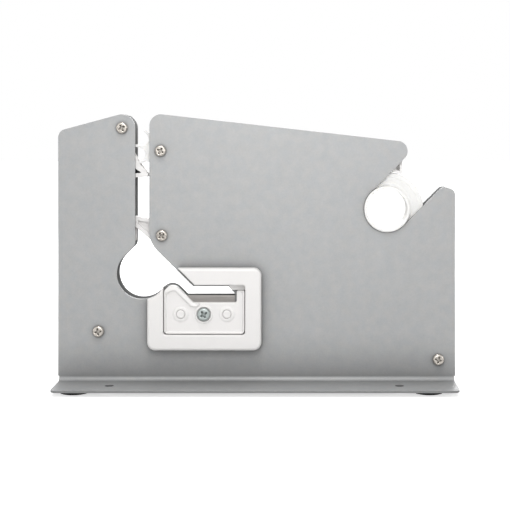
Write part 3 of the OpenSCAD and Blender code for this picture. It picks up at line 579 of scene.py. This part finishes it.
def screw_mesh(name, radius, height, shank_r, shank_end, spin, depth, flat=0.72):
    """A pan head with its shank, along +Z from the seat at 0, and a cross recess on top."""
    around, rings, fall = 72, 26, 0.48
    mesh = bpy.data.meshes.new(name)
    form = bmesh.new()
    reach, arm = radius * 0.70, radius * 0.165

    def crown(r):
        t = max(0.0, (r / radius - flat) / (1 - flat))
        return height * (1 - fall * t * t)

    loops = []
    centre = form.verts.new((0, 0, crown(0) - depth))
    for ring in range(1, rings + 1):
        r = radius * ring / rings
        loops.append([])
        for k in range(around):
            a = TURN * k / around
            x, y = r * math.cos(a), r * math.sin(a)
            loops[-1].append(form.verts.new((x, y, crown(r) - recess_at(x, y, reach, arm, depth))))
    for r, z in ((radius * 1.0, height * 0.16), (radius * 0.97, 0.0), (shank_r, 0.0),
                 (shank_r, shank_end + 0.0004), (shank_r * 0.8, shank_end)):
        loops.append([form.verts.new((r * math.cos(TURN * k / around),
                                      r * math.sin(TURN * k / around), z))
                      for k in range(around)])
    for k in range(around):
        form.faces.new((centre, loops[0][k], loops[0][(k + 1) % around]))
    for low, high in zip(loops, loops[1:]):
        for k in range(around):
            form.faces.new((low[k], high[k], high[(k + 1) % around], low[(k + 1) % around]))
    form.faces.new(list(reversed(loops[-1])))
    bmesh.ops.recalc_face_normals(form, faces=form.faces)
    form.transform(Matrix.Rotation(math.radians(spin), 4, "Z"))
    form.to_mesh(mesh)
    form.free()
    return mesh


def islands(node):
    """Boxes of a node's separate solids: (lowest corner, highest corner)."""
    form = bmesh.new()
    form.from_mesh(frame["nodes"][node].data)
    bmesh.ops.remove_doubles(form, verts=form.verts, dist=1e-6)
    left = set(form.verts)
    boxes = []
    while left:
        stack, found = [left.pop()], []
        while stack:
            vert = stack.pop()
            found.append(vert.co.copy())
            for edge in vert.link_edges:
                other = edge.other_vert(vert)
                if other in left:
                    left.remove(other)
                    stack.append(other)
        boxes.append((Vector(min(c[i] for c in found) for i in range(3)),
                      Vector(max(c[i] for c in found) for i in range(3))))
    form.free()
    return sorted(boxes, key=lambda b: (round(b[0].x, 4), round(b[0].z, 4)))


FRONT, BACK = -1, 1
SHANK_R = 0.00195


def place_screws(node, look, spins, facing, seat):
    """Pan head screws in the places of a node's solids, each turned by its own angle."""
    body, slot = body_and_slot(node)
    for index, (low, high) in enumerate(islands(node)):
        radius = (high.x - low.x) / 2
        top = low.y if facing < 0 else high.y
        foot = high.y if facing < 0 else low.y
        height = abs(top - seat)
        name = "%s_%d" % (node, index + 1)
        mesh = screw_mesh(name, radius, height, SHANK_R,
                          -abs(foot - seat), spins[index % len(spins)], sizes().recess_depth)
        turn = Matrix.Rotation(math.radians(90 if facing < 0 else -90), 4, "X")
        mesh.transform(Matrix.Translation(((low.x + high.x) / 2, seat, (low.z + high.z) / 2)) @ turn)
        piece = place_piece(name, mesh, look, body, 50)
        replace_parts(piece, node)


# ---- Springs ----

def tube_mesh(name, points, radius, sides=12):
    """A closed round wire along points."""
    mesh = bpy.data.meshes.new(name)
    form = bmesh.new()
    rings = []
    for i, point in enumerate(points):
        ahead = points[min(i + 1, len(points) - 1)] - points[max(i - 1, 0)]
        ahead.normalize()
        side = ahead.cross(Vector((0, 1, 0))).normalized()
        up = side.cross(ahead)
        rings.append([form.verts.new(point + radius * (math.cos(TURN * k / sides) * side
                                                       + math.sin(TURN * k / sides) * up))
                      for k in range(sides)])
    for low, high in zip(rings, rings[1:]):
        for k in range(sides):
            form.faces.new((low[k], low[(k + 1) % sides], high[(k + 1) % sides], high[k]))
    form.faces.new(rings[0])
    form.faces.new(list(reversed(rings[-1])))
    bmesh.ops.recalc_face_normals(form, faces=form.faces)
    form.to_mesh(mesh)
    form.free()
    return mesh


def spring_points(centre, side, start, radius, first_y, pitch, leg, drop):
    """Fixed leg, turns from the angle start to 630 degrees, and the moving leg down."""
    total = 630 - start
    steps = 12 * (total // 90)
    points = [Vector((centre.x + side * leg * math.cos(math.radians(start)), first_y,
                      centre.z - radius * math.cos(math.radians(start))))]
    for i in range(steps + 1):
        t = total * i / steps
        a = math.radians(start + t)
        points.append(Vector((centre.x - side * radius * math.sin(a), first_y - pitch * t / 360,
                              centre.z - radius * math.cos(a))))
    points.append(Vector((centre.x + side * radius, first_y - pitch * total / 360, centre.z - drop)))
    return points


def joint_point(name):
    joint = next(j for j in frame["joints"] if j["name"] == name)
    return Vector(joint["pos_m"])


TURN_GAP = 0.00045
SPRINGS = (
    # node, joint, side of the moving leg, angle of the fixed leg, wire radius
    ("gate_spring", "gate_swing", -1, 0, 0.0005),
    ("lower_spring", "lower_swing", 1, 0, 0.0005),
    ("latch_spring", "latch_swing", 1, 180, 0.00035),
)


def place_spring(node, joint, side, start, wire):
    """A round wire in the place of a CAD spring, with its sizes taken from the node's box."""
    low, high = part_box(node)
    centre = joint_point(joint)
    bottom_fixed = math.cos(math.radians(start)) > 0
    leg = abs((low.x if side * math.cos(math.radians(start)) < 0 else high.x) - centre.x)
    reach = (high.x - centre.x) if side < 0 or not bottom_fixed else (centre.x - low.x)
    radius = reach - wire
    pitch = 2 * wire + TURN_GAP
    points = spring_points(centre, side, start, radius, high.y - wire, pitch, leg, centre.z - low.z)
    mesh = tube_mesh(node + "_wire", points, wire)
    piece = place_piece(node + "_wire", mesh, "wire", None)
    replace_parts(piece, node)
    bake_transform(piece)


# ---- Blade holder ----

def section_loops(form, depth):
    """Cuts a form at y = depth, keeps what is behind, and gives the cut's loops, widest first."""
    parts = form.verts[:] + form.edges[:] + form.faces[:]
    cut = bmesh.ops.bisect_plane(form, geom=parts, dist=1e-7, plane_co=(0, depth, 0),
                                 plane_no=(0, 1, 0), clear_inner=True)["geom_cut"]
    left = {edge for edge in cut if isinstance(edge, bmesh.types.BMEdge)}
    bmesh.ops.triangle_fill(form, use_beauty=True, edges=list(left))
    loops = []
    while left:
        edge = left.pop()
        start, vert = edge.verts
        loop = [start]
        while vert is not start:
            loop.append(vert)
            edge = next(e for e in vert.link_edges if e in left)
            left.discard(edge)
            vert = edge.other_vert(vert)
        loops.append([Vector((v.co.x, v.co.z)) for v in loop])
    return sorted(loops, key=lambda l: -max(abs(a.x - l[0].x) for a in l))


def even_loop(loop, step, least=0.00004):
    """The loop without doubled points, its long edges cut to the step."""
    points = []
    for a, b in zip(loop, loop[1:] + loop[:1]):
        length = (b - a).length
        if length < least:
            continue
        parts = max(1, round(length / step))
        points += [a.lerp(b, i / parts) for i in range(parts)]
    return points


def inside(point, loop):
    """Whether a point lies inside a loop, by the crossings to its right."""
    odd = False
    for a, b in zip(loop, loop[1:] + loop[:1]):
        if (a.y > point.y) != (b.y > point.y):
            if point.x < a.x + (point.y - a.y) * (b.x - a.x) / (b.y - a.y):
                odd = not odd
    return odd


class HolderRelief:
    """Height of the blade holder's face over its floor: rim, lobe, collars and the screw's ring.

    The outline's edges are sorted into the plain sides, the lobe's rising and falling flanks,
    and the bare edge along the blade, which has no rim.
    """

    ledge_start, ledge_end, ledge_slack = 0.006, 0.008, 0.0004
    bare_start, right_wall, left_wall, low_wall = 0.0055, 0.0014, 0.0009, 0.003
    rim_flat, rim_foot = 0.0009, 0.0016
    crest_top, crest_end, crest_foot = 0.0022, 0.0024, 0.0033
    crest_edge, crest_rise = 0.45, 0.55
    flank_blend = 0.0009
    collar_flat, collar_fall, collar_r, collar_rise = 0.0034, 0.0016, 0.005, 0.00055
    groove_in, groove_out, groove_deep = 0.00282, 0.00315, 0.0007
    ring = (0.0045, 0.0048, 0.0056, 0.0061)
    ring_rise = 0.0008
    edge_r = 0.00045

    def __init__(self, outline, pins, screw, rise):
        self.pins, self.screw, self.rise = pins, screw, rise
        self.kinds = {"side": [], "rising": [], "falling": [], "bare": []}
        low_x, high_x = min(p.x for p in outline), max(p.x for p in outline)
        low_z, high_z = min(p.y for p in outline), max(p.y for p in outline)
        ledge = [p.y for p in outline
                 if screw.x + self.ledge_start < p.x < high_x - self.ledge_end and p.y > screw.y]
        top = min(ledge)
        peak = max((p for p in outline if p.x < screw.x), key=lambda p: p.y).x
        for a, b in zip(outline, outline[1:] + outline[:1]):
            m = (a + b) / 2
            at_right = m.x > high_x - self.right_wall
            if (m.x > screw.x - self.bare_start and m.y > top - self.ledge_slack
                    and m.x < high_x - self.right_wall):
                kind = "bare"
            elif m.x < low_x + self.left_wall or m.y < low_z + self.low_wall or at_right:
                kind = "side"
            else:
                kind = "rising" if m.x < peak else "falling"
            self.kinds[kind].append((a, b))

    def reach(self, point, kind):
        """Distance from a point to the nearest edge of a kind."""
        best = 1.0
        for a, b in self.kinds[kind]:
            along = b - a
            t = min(1.0, max(0.0, (point - a).dot(along) / along.length_squared))
            best = min(best, (point - a - along * t).length)
        return best

    def height(self, point):
        side, rising, falling, bare = (self.reach(point, kind) for kind in self.kinds)
        blend = self.flank_blend
        lobe = -blend * math.log(math.exp(-rising / blend) + math.exp(-falling / blend))
        rim = 1.0 - smooth_step(self.rim_flat, self.rim_foot, side)
        slope = self.crest_edge + self.crest_rise * smooth_step(0.0, self.crest_top, lobe)
        crest = slope * (1.0 - smooth_step(self.crest_end, self.crest_foot, lobe))
        level = max(rim, crest) * self.rise
        for pin in self.pins:
            r = (point - pin).length
            past = max(0.0, (r - self.collar_flat) / self.collar_fall)
            if r < self.collar_r:
                level = max(level, self.collar_rise * math.sqrt(max(0.0, 1.0 - past ** 2)))
            level -= self.groove_deep * (1.0 - smooth_step(self.groove_in, self.groove_out, r))
        r = (point - self.screw).length
        a, b, c, d = self.ring
        level = max(level, self.ring_rise * smooth_step(a, b, r) * (1 - smooth_step(c, d, r)))
        edge = min(side, rising, falling, bare)
        if edge < self.edge_r:
            level -= self.edge_r - math.sqrt(self.edge_r ** 2 - (self.edge_r - edge) ** 2)
        return level


ROWS = (0.00006, 0.00014, 0.00026, 0.00045, 0.0009, 0.0011, 0.0013, 0.0016, 0.002,
        0.0024, 0.0028, 0.0031, 0.0034, 0.0037, 0.0041, 0.0045)
PIN_RINGS = (0.0029, 0.003, 0.0032, 0.0034, 0.0038, 0.0043, 0.0046, 0.0048, 0.005)
SCREW_RINGS = (0.0045, 0.0046, 0.0047, 0.0048, 0.0052, 0.0056, 0.0058, 0.006, 0.0061)
RING_POINTS = 64


def relief_points(loops, relief, step):
    """Points where the face turns: rows along the outline, rings round pins and screw, and a grid."""
    outline, rings = loops[0], []
    area = sum(a.x * b.y - b.x * a.y for a, b in zip(outline, outline[1:] + outline[:1]))
    turn = 1 if area > 0 else -1
    for offset in ROWS:
        for a, b, c in zip(outline, outline[1:] + outline[:1], outline[2:] + outline[:2]):
            along = (c - a).normalized()
            point = b + Vector((-along.y, along.x)) * turn * offset
            edge = min(relief.reach(point, kind) for kind in relief.kinds if relief.kinds[kind])
            if inside(point, outline) and abs(edge - offset) < offset * 0.05 + 0.000004:
                rings.append(point)
    for centre, radii in [(pin, PIN_RINGS) for pin in relief.pins] + [(relief.screw, SCREW_RINGS)]:
        for radius in radii:
            rings += [centre + radius * Vector((math.cos(TURN * k / RING_POINTS),
                                                math.sin(TURN * k / RING_POINTS)))
                      for k in range(RING_POINTS)]
    low = Vector((min(p.x for p in outline), min(p.y for p in outline)))
    high = Vector((max(p.x for p in outline), max(p.y for p in outline)))
    tree = kdtree.KDTree(len(rings) + sum(len(l) for l in loops))
    for index, point in enumerate(rings + [p for loop in loops for p in loop]):
        tree.insert((point.x, point.y, 0), index)
    tree.balance()
    grid = []
    for row in range(int((high.y - low.y) / step) + 1):
        for col in range(int((high.x - low.x) / step) + 1):
            point = low + Vector(((col + 0.5 * (row % 2)) * step, row * step))
            if tree.find((point.x, point.y, 0))[2] > step * 0.45 and inside(point, outline) \
                    and not any(inside(point, hole) for hole in loops[1:]):
                grid.append(point)
    return rings + grid


def relief_mesh(name, loops, relief, floor_y, back_y, step):
    """A closed form: the relief in front, the same loops as a plain face at the back, and walls."""
    seam = [point for loop in loops for point in loop]
    edges, start = [], 0
    for loop in loops:
        edges += [(start + i, start + (i + 1) % len(loop)) for i in range(len(loop))]
        start += len(loop)

    def faces_of(points):
        verts, _, faces, _, _, _ = geometry.delaunay_2d_cdt(points, edges, [], 1, 1e-7)
        kept = []
        for face in faces:
            middle = sum((verts[i] for i in face), Vector((0, 0))) / len(face)
            if inside(middle, loops[0]) and not any(inside(middle, hole) for hole in loops[1:]):
                kept.append(face)
        return verts, kept

    form = bmesh.new()
    verts, faces = faces_of(seam + relief_points(loops, relief, step))
    front = [form.verts.new((v.x, floor_y - relief.height(v), v.y)) for v in verts]
    for face in faces:
        form.faces.new([front[i] for i in face])
    flat_verts, flat_faces = faces_of(seam)
    back = [form.verts.new((v.x, back_y, v.y)) for v in flat_verts]
    for face in flat_faces:
        form.faces.new([back[i] for i in reversed(face)])
    for a, b in edges:
        form.faces.new((front[a], front[b], back[b], back[a]))
    bmesh.ops.recalc_face_normals(form, faces=form.faces)
    mesh = bpy.data.meshes.new(name)
    form.to_mesh(mesh)
    form.free()
    return mesh


BLADE_CLEAR = 0.00016
SEAM_STEP, GRID_STEP = 0.0006, 0.0009


def place_holder():
    """The blade holder in two closed forms: its moulded face, and the back that straddles the blade."""
    node = "blade_holder"
    body, slot = body_and_slot(node)
    front_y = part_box(node)[0].y
    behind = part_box("trimmer_blade")[0].y - BLADE_CLEAR
    form = bmesh.new()
    form.from_mesh(frame["nodes"][node].data)
    bmesh.ops.remove_doubles(form, verts=form.verts, dist=1e-6)
    loops = [even_loop(loop, SEAM_STEP) for loop in section_loops(form, behind)]
    mesh = bpy.data.meshes.new("blade_holder_back")
    form.to_mesh(mesh)
    form.free()
    drop_layers(mesh)
    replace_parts(place_piece("blade_holder_back", mesh, "white", body), node)
    screw_low, screw_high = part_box("holder_screw")
    screw = (screw_low + screw_high) / 2
    pins = [(a + b) / 2 for a, b in islands("locating_pins")]
    rise = sizes().holder_floor
    relief = HolderRelief(loops[0], [Vector((p.x, p.z)) for p in pins],
                          Vector((screw.x, screw.z)), rise)
    face = relief_mesh("blade_holder_face", loops, relief, front_y + rise, behind, GRID_STEP)
    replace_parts(place_piece("blade_holder_face", face, "white", body, 60), node)


# ---- Operators ----

class SEALER_OT_plates(bpy.types.Operator):
    """Painted side plates with rounded edges, and their rubber feet"""
    bl_idname = "sealer.plates"
    bl_label = "Side plates and feet"

    def execute(self, context):
        for node in ("front_plate", "rear_plate"):
            dress(node, "paint", sizes().sheet_edge, 3)
        keep("rubber_feet", "rubber")
        return {"FINISHED"}


class SEALER_OT_posts(bpy.types.Operator):
    """Posts, studs and the nut between the plates"""
    bl_idname = "sealer.posts"
    bl_label = "Posts and studs"

    def execute(self, context):
        for node in ("spacer_posts", "gate_post", "star_post", "lower_post", "stop_studs",
                     "latch_stud", "clinch_nut", "housing_screws"):
            dress(node, "nickel", sizes().metal_edge)
        return {"FINISHED"}


class SEALER_OT_screws(bpy.types.Operator):
    """Pan head screws with their cross recesses"""
    bl_idname = "sealer.screws"
    bl_label = "Screws"

    def execute(self, context):
        face = plate_face()
        head_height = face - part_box("front_screws")[0].y
        holder_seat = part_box("holder_screw")[0].y + head_height
        place_screws("front_screws", "nickel", (12, 28, 61, 38, 74), FRONT, face)
        place_screws("rear_screws", "nickel", (47, 5, 33, 66, 19), BACK, -face)
        place_screws("holder_screw", "zinc", (31,), FRONT, holder_seat)
        return {"FINISHED"}


class SEALER_OT_levers(bpy.types.Operator):
    """Gate lever, lower lever, star wheel and what they carry"""
    bl_idname = "sealer.levers"
    bl_label = "Levers and star wheel"

    def execute(self, context):
        dress("gate_lever", "white", sizes().lever_edge)
        dress("lower_lever", "white", sizes().lever_edge)
        dress("star_wheel", "nylon", sizes().lever_edge)
        # The barb plate's near-black finish is partly painted shade in the barb's window.
        dress("barb_plate", "dark", sizes().metal_edge)
        dress("tape_knife", "blade", sizes().metal_edge)
        return {"FINISHED"}


class SEALER_OT_springs(bpy.types.Operator):
    """Torsion springs of round wire"""
    bl_idname = "sealer.springs"
    bl_label = "Springs"

    def execute(self, context):
        for spring in SPRINGS:
            place_spring(*spring)
        return {"FINISHED"}


class SEALER_OT_hub(bpy.types.Operator):
    """Hub tube, drum and latch"""
    bl_idname = "sealer.hub"
    bl_label = "Tape hub"

    def execute(self, context):
        dress("hub_tube", "nylon", sizes().lever_edge)
        dress("drum_front", "nylon", sizes().lever_edge)
        dress("drum_rear", "nylon", sizes().lever_edge)
        dress("hub_latch", "white", sizes().lever_edge)
        return {"FINISHED"}


class SEALER_OT_trimmer(bpy.types.Operator):
    """Trimmer housing, blade holder, blade and locating pins"""
    bl_idname = "sealer.trimmer"
    bl_label = "Trimmer"

    def execute(self, context):
        dress("trimmer_housing", "white", sizes().lever_edge)
        place_holder()
        dress("locating_pins", "white", sizes().lever_edge)
        dress("trimmer_blade", "blade", sizes().metal_edge)
        return {"FINISHED"}


def plate_face():
    """Y of the front plate's outer face, which the trimmer's housing sits on."""
    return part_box("trimmer_housing")[1].y


def seen_rays(nodes):
    """One for camera, mirror and see-through rays, to which the background shows white."""
    path = nodes.add("ShaderNodeLightPath")
    return nodes.math("MAXIMUM", nodes.math("MAXIMUM", path.outputs["Is Camera Ray"],
                                            path.outputs["Is Glossy Ray"]),
                      path.outputs["Is Transmission Ray"])


class SEALER_OT_stage(bpy.types.Operator):
    """Floor, lights, world and the camera at the photograph's place"""
    bl_idname = "sealer.stage"
    bl_label = "Stage"

    def execute(self, context):
        build_floor()
        build_world()
        build_lights()
        build_camera()
        context.scene.view_settings.view_transform = "Standard"
        return {"FINISHED"}


FLOOR_NEAR, FLOOR_FAR = 0.22, 0.6
GLOW_NEAR, GLOW_FAR = 0.66, 1.0


def build_floor():
    """A white sheet under the object. It keeps the shadow near it, and is plain white far off."""
    mesh = bpy.data.meshes.new("floor")
    half = 6.0
    mesh.from_pydata([(-half, -half, 0), (half, -half, 0), (half, half, 0), (-half, half, 0)], [],
                     [(0, 1, 2, 3)])
    floor = bpy.data.objects.new("floor", mesh)
    bpy.context.scene.collection.objects.link(floor)
    material = bpy.data.materials.new("floor_white")
    material.use_nodes = True
    n = Nodes(material.node_tree)
    shader = material.node_tree.nodes["Principled BSDF"]
    shader.inputs["Base Color"].default_value = (0.9, 0.9, 0.9, 1)
    shader.inputs["Roughness"].default_value = 0.9
    shader.inputs["Specular IOR Level"].default_value = 0.0
    seen = n.add("ShaderNodeLightPath").outputs["Is Camera Ray"]
    away = n.add("ShaderNodeVectorMath", operation="LENGTH")
    n.join(n.add("ShaderNodeTexCoord").outputs["Object"], away.inputs[0])
    glow = n.spread(away.outputs["Value"], FLOOR_NEAR, FLOOR_FAR, GLOW_NEAR, GLOW_FAR)
    n.join(n.math("MULTIPLY", seen, glow), shader.inputs["Emission Strength"])
    shader.inputs["Emission Color"].default_value = (1, 1, 1, 1)
    mesh.materials.append(material)


ROOM_LIGHT = 0.24


def build_world():
    """Soft light from all round, with a white backdrop for what is seen directly or mirrored."""
    world = bpy.data.worlds.new("soft_room")
    bpy.context.scene.world = world
    world.use_nodes = True
    n = Nodes(world.node_tree)
    background = world.node_tree.nodes["Background"]
    background.inputs["Color"].default_value = (1, 1, 1, 1)
    seen = seen_rays(n)
    strength = n.math("ADD", n.math("MULTIPLY", seen, 1 - ROOM_LIGHT), ROOM_LIGHT)
    n.join(strength, background.inputs["Strength"])


def area_light(name, place, target, size, power):
    """A soft lamp that shines on the object and doesn't show itself to the camera."""
    data = bpy.data.lights.new(name, "AREA")
    data.shape = "RECTANGLE"
    data.size, data.size_y = size
    data.energy = power
    lamp = bpy.data.objects.new(name, data)
    bpy.context.scene.collection.objects.link(lamp)
    lamp.location = place
    lamp.visible_camera = False
    lamp.rotation_euler = (Vector(target) - Vector(place)).to_track_quat("-Z", "Y").to_euler()


LAMPS = (
    # name, place, size and power in watts
    ("key", (-0.03, -0.50, 0.46), (0.30, 0.26), 1.60),
    ("fill", (0.06, -0.62, 0.22), (0.36, 0.24), 0.64),
    ("top", (0.0, -0.36, 0.95), (0.20, 0.12), 2.3),
    ("back", (0.05, 0.95, 0.55), (0.7, 0.5), 6.6),
    ("left", (-0.80, 0.12, 0.26), (0.4, 0.3), 1.2),
    ("right", (0.80, 0.12, 0.26), (0.4, 0.3), 1.2),
)


def build_lights():
    middle = ((cad_low[0] + cad_high[0]) / 2, 0, (cad_low[2] + cad_high[2]) / 2)
    for name, place, size, power in LAMPS:
        area_light(name, place, middle, size, power)


PICTURE_WIDTH = 510.0
SHIFT_RIGHT, SHIFT_UP = -45.0, -120.0


def build_camera():
    """The photograph's viewpoint, level and shifted by whole pixels to its framing."""
    stage = stage_values()
    data = bpy.data.cameras.new("camera")
    data.lens = stage.focal
    data.sensor_width = 36.0
    data.shift_x = SHIFT_RIGHT / PICTURE_WIDTH
    data.shift_y = SHIFT_UP / PICTURE_WIDTH
    data.clip_start, data.clip_end = 0.01, 50.0
    camera = bpy.data.objects.new("camera", data)
    bpy.context.scene.collection.objects.link(camera)
    camera.location = (stage.side, plate_face() - stage.distance, stage.height)
    camera.rotation_euler = (math.radians(90), 0, 0)
    bpy.context.scene.camera = camera


OPERATORS = (SEALER_OT_stage, SEALER_OT_plates, SEALER_OT_posts, SEALER_OT_screws,
             SEALER_OT_levers, SEALER_OT_springs, SEALER_OT_hub, SEALER_OT_trimmer)


class SEALER_PT_panel(bpy.types.Panel):
    """Lists the sealer's steps"""
    bl_idname = "SEALER_PT_panel"
    bl_label = "Bag neck sealer"
    bl_space_type = "VIEW_3D"
    bl_region_type = "UI"
    bl_category = "Sealer"

    def draw(self, context):
        for operator in OPERATORS:
            self.layout.operator(operator.bl_idname)
        for values in (sizes(), colours(), stage_values()):
            box = self.layout.box()
            for name in values.bl_rna.properties.keys():
                if name not in ("rna_type", "name"):
                    box.prop(values, name)


CLASSES = (SealerSizes, SealerColours, SealerStage, *OPERATORS, SEALER_PT_panel)


def register():
    for cls in CLASSES:
        bpy.utils.register_class(cls)
    bpy.types.Scene.sealer_sizes = bpy.props.PointerProperty(type=SealerSizes)
    bpy.types.Scene.sealer_colours = bpy.props.PointerProperty(type=SealerColours)
    bpy.types.Scene.sealer_stage = bpy.props.PointerProperty(type=SealerStage)


def unregister():
    del bpy.types.Scene.sealer_stage
    del bpy.types.Scene.sealer_colours
    del bpy.types.Scene.sealer_sizes
    for cls in reversed(CLASSES):
        bpy.utils.unregister_class(cls)


def main():
    register()
    for operator in OPERATORS:
        group_name, name = operator.bl_idname.split(".")
        getattr(getattr(bpy.ops, group_name), name)()


if __name__ == "__main__":
    main()
